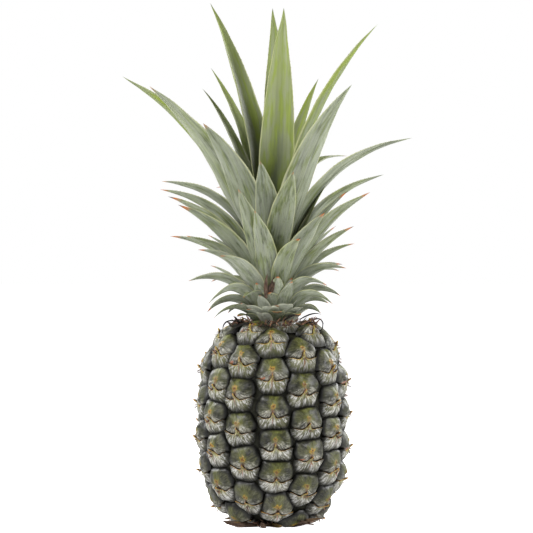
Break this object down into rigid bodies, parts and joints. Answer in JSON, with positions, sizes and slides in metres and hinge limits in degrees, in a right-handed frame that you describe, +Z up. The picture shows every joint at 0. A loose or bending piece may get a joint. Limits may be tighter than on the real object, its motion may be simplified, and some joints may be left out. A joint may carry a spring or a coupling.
{
  "type": "pineapple",
  "caption": "Whole ripe pineapple standing on its base: barrel-shaped fruit with spiral hexagonal eyes and a tall crown of channelled, arching leaves.",
  "frame": {"origin": "middle of the flat base that the fruit stands on", "axes": "+Z up along the fruit and its crown, -Y toward the front, +X to the right seen from the front"},
  "size_m": [0.2213, 0.1495, 0.398],
  "materials": {
    "rind": "waxy, olive green and silver grey",
    "dry_stalk": "dry, fibrous",
    "crown_stem": "matt",
    "silver_leaf": "matt, with a silver bloom",
    "green_leaf": "satin, yellow green"
  },
  "bodies": {
    "root": {"fruit_body": "rind", "stalk_stub": "dry_stalk", "crown_stem": "crown_stem", "leaf_01": "green_leaf", "leaf_02": "green_leaf", "leaf_03": "green_leaf", "leaf_04": "green_leaf", "leaf_05": "silver_leaf", "leaf_06": "green_leaf", "leaf_07": "silver_leaf", "leaf_08": "green_leaf", "leaf_09": "green_leaf", "leaf_10": "green_leaf", "leaf_11": "green_leaf", "leaf_12": "silver_leaf", "leaf_13": "silver_leaf", "leaf_14": "green_leaf", "leaf_15": "green_leaf", "leaf_16": "silver_leaf", "leaf_17": "silver_leaf", "leaf_18": "silver_leaf", "leaf_19": "silver_leaf", "leaf_20": "silver_leaf", "leaf_21": "silver_leaf", "leaf_22": "silver_leaf", "leaf_23": "silver_leaf", "leaf_24": "silver_leaf", "leaf_25": "silver_leaf", "leaf_26": "silver_leaf", "leaf_27": "silver_leaf", "leaf_28": "silver_leaf", "leaf_29": "silver_leaf", "leaf_30": "silver_leaf", "leaf_31": "silver_leaf", "leaf_32": "silver_leaf", "leaf_33": "silver_leaf", "leaf_34": "silver_leaf", "leaf_35": "silver_leaf", "leaf_36": "silver_leaf", "leaf_37": "silver_leaf", "leaf_38": "silver_leaf", "leaf_39": "silver_leaf", "leaf_40": "silver_leaf", "leaf_41": "silver_leaf", "leaf_42": "silver_leaf", "leaf_43": "silver_leaf", "leaf_44": "silver_leaf", "leaf_45": "silver_leaf", "leaf_46": "silver_leaf", "leaf_47": "silver_leaf", "leaf_48": "silver_leaf", "leaf_49": "silver_leaf", "leaf_50": "silver_leaf", "leaf_51": "silver_leaf", "leaf_52": "silver_leaf", "leaf_53": "silver_leaf", "leaf_54": "silver_leaf", "leaf_55": "silver_leaf", "leaf_56": "silver_leaf"}
  },
  "joints": []
}
